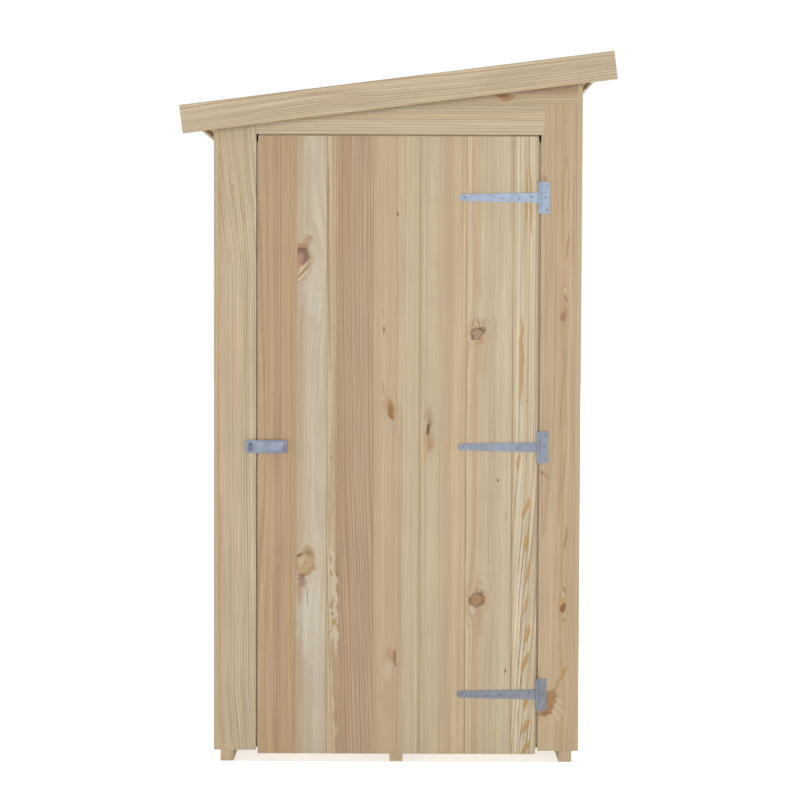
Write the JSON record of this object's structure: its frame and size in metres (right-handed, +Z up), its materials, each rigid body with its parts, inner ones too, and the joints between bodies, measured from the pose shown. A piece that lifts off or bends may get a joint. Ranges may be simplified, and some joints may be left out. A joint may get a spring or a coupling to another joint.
{
  "type": "lean-to shed",
  "caption": "Timber lean-to shed with a single-pitch roof, vertical board walls, a built floor and a boarded door on T hinges with a hasp.",
  "frame": {"origin": "on the ground, under the middle of the roof in plan", "axes": "+X towards the high eave, -Y towards the door, +Z up"},
  "size_m": [1.3652, 1.756, 2.249],
  "materials": {
    "pine_cladding": "planed untreated pine boards, matt",
    "pine_roof": "planed untreated pine boards, matt",
    "pine_frame": "planed square pine timber, matt",
    "pine_base": "planed pine bearers and floor boards, matt",
    "zinc_steel": "bright zinc-plated pressed steel, satin"
  },
  "bodies": {
    "root": {"bearer_left": "pine_base", "bearer_middle": "pine_base", "bearer_right": "pine_base", "floor": "pine_base", "front_posts": "pine_frame", "back_posts": "pine_frame", "jamb_studs": "pine_frame", "door_stops": "pine_frame", "left_rails": "pine_frame", "right_rails": "pine_frame", "back_rails": "pine_frame", "top_plate_left": "pine_frame", "top_plate_right": "pine_frame", "head_rail": "pine_frame", "rafter_front": "pine_frame", "rafter_back": "pine_frame", "purlin": "pine_frame", "left_wall": "pine_cladding", "right_wall": "pine_cladding", "back_wall": "pine_cladding", "front_board_left": "pine_cladding", "front_board_right": "pine_cladding", "lintel_board": "pine_cladding", "gable_board": "pine_cladding", "roof_deck": "pine_roof", "fascia_front": "pine_roof", "fascia_back": "pine_roof", "eave_board_low": "pine_roof", "eave_board_high": "pine_roof", "hinge_plate_top": "zinc_steel", "hinge_plate_middle": "zinc_steel", "hinge_plate_bottom": "zinc_steel", "hasp_staple": "zinc_steel"},
    "door": {"door_panel": "pine_cladding", "door_ledge_top": "pine_frame", "door_ledge_middle": "pine_frame", "door_ledge_bottom": "pine_frame", "door_braces": "pine_frame", "hinge_strap_top": "zinc_steel", "hinge_strap_middle": "zinc_steel", "hinge_strap_bottom": "zinc_steel", "hasp_leaf": "zinc_steel"},
    "hasp": {"hasp_strap": "zinc_steel"}
  },
  "joints": [
    {"name": "door_hinge", "type": "hinge", "parent": "root", "child": "door", "pos_m": [0.447, -0.808, 1.006], "axis": [0, 0, 1], "range_deg": [0, 165]},
    {"name": "hasp_hinge", "type": "hinge", "parent": "door", "child": "hasp", "pos_m": [-0.352, -0.8079, 1.006], "axis": [0, 0, 1], "range_deg": [0, 170]}
  ]
}
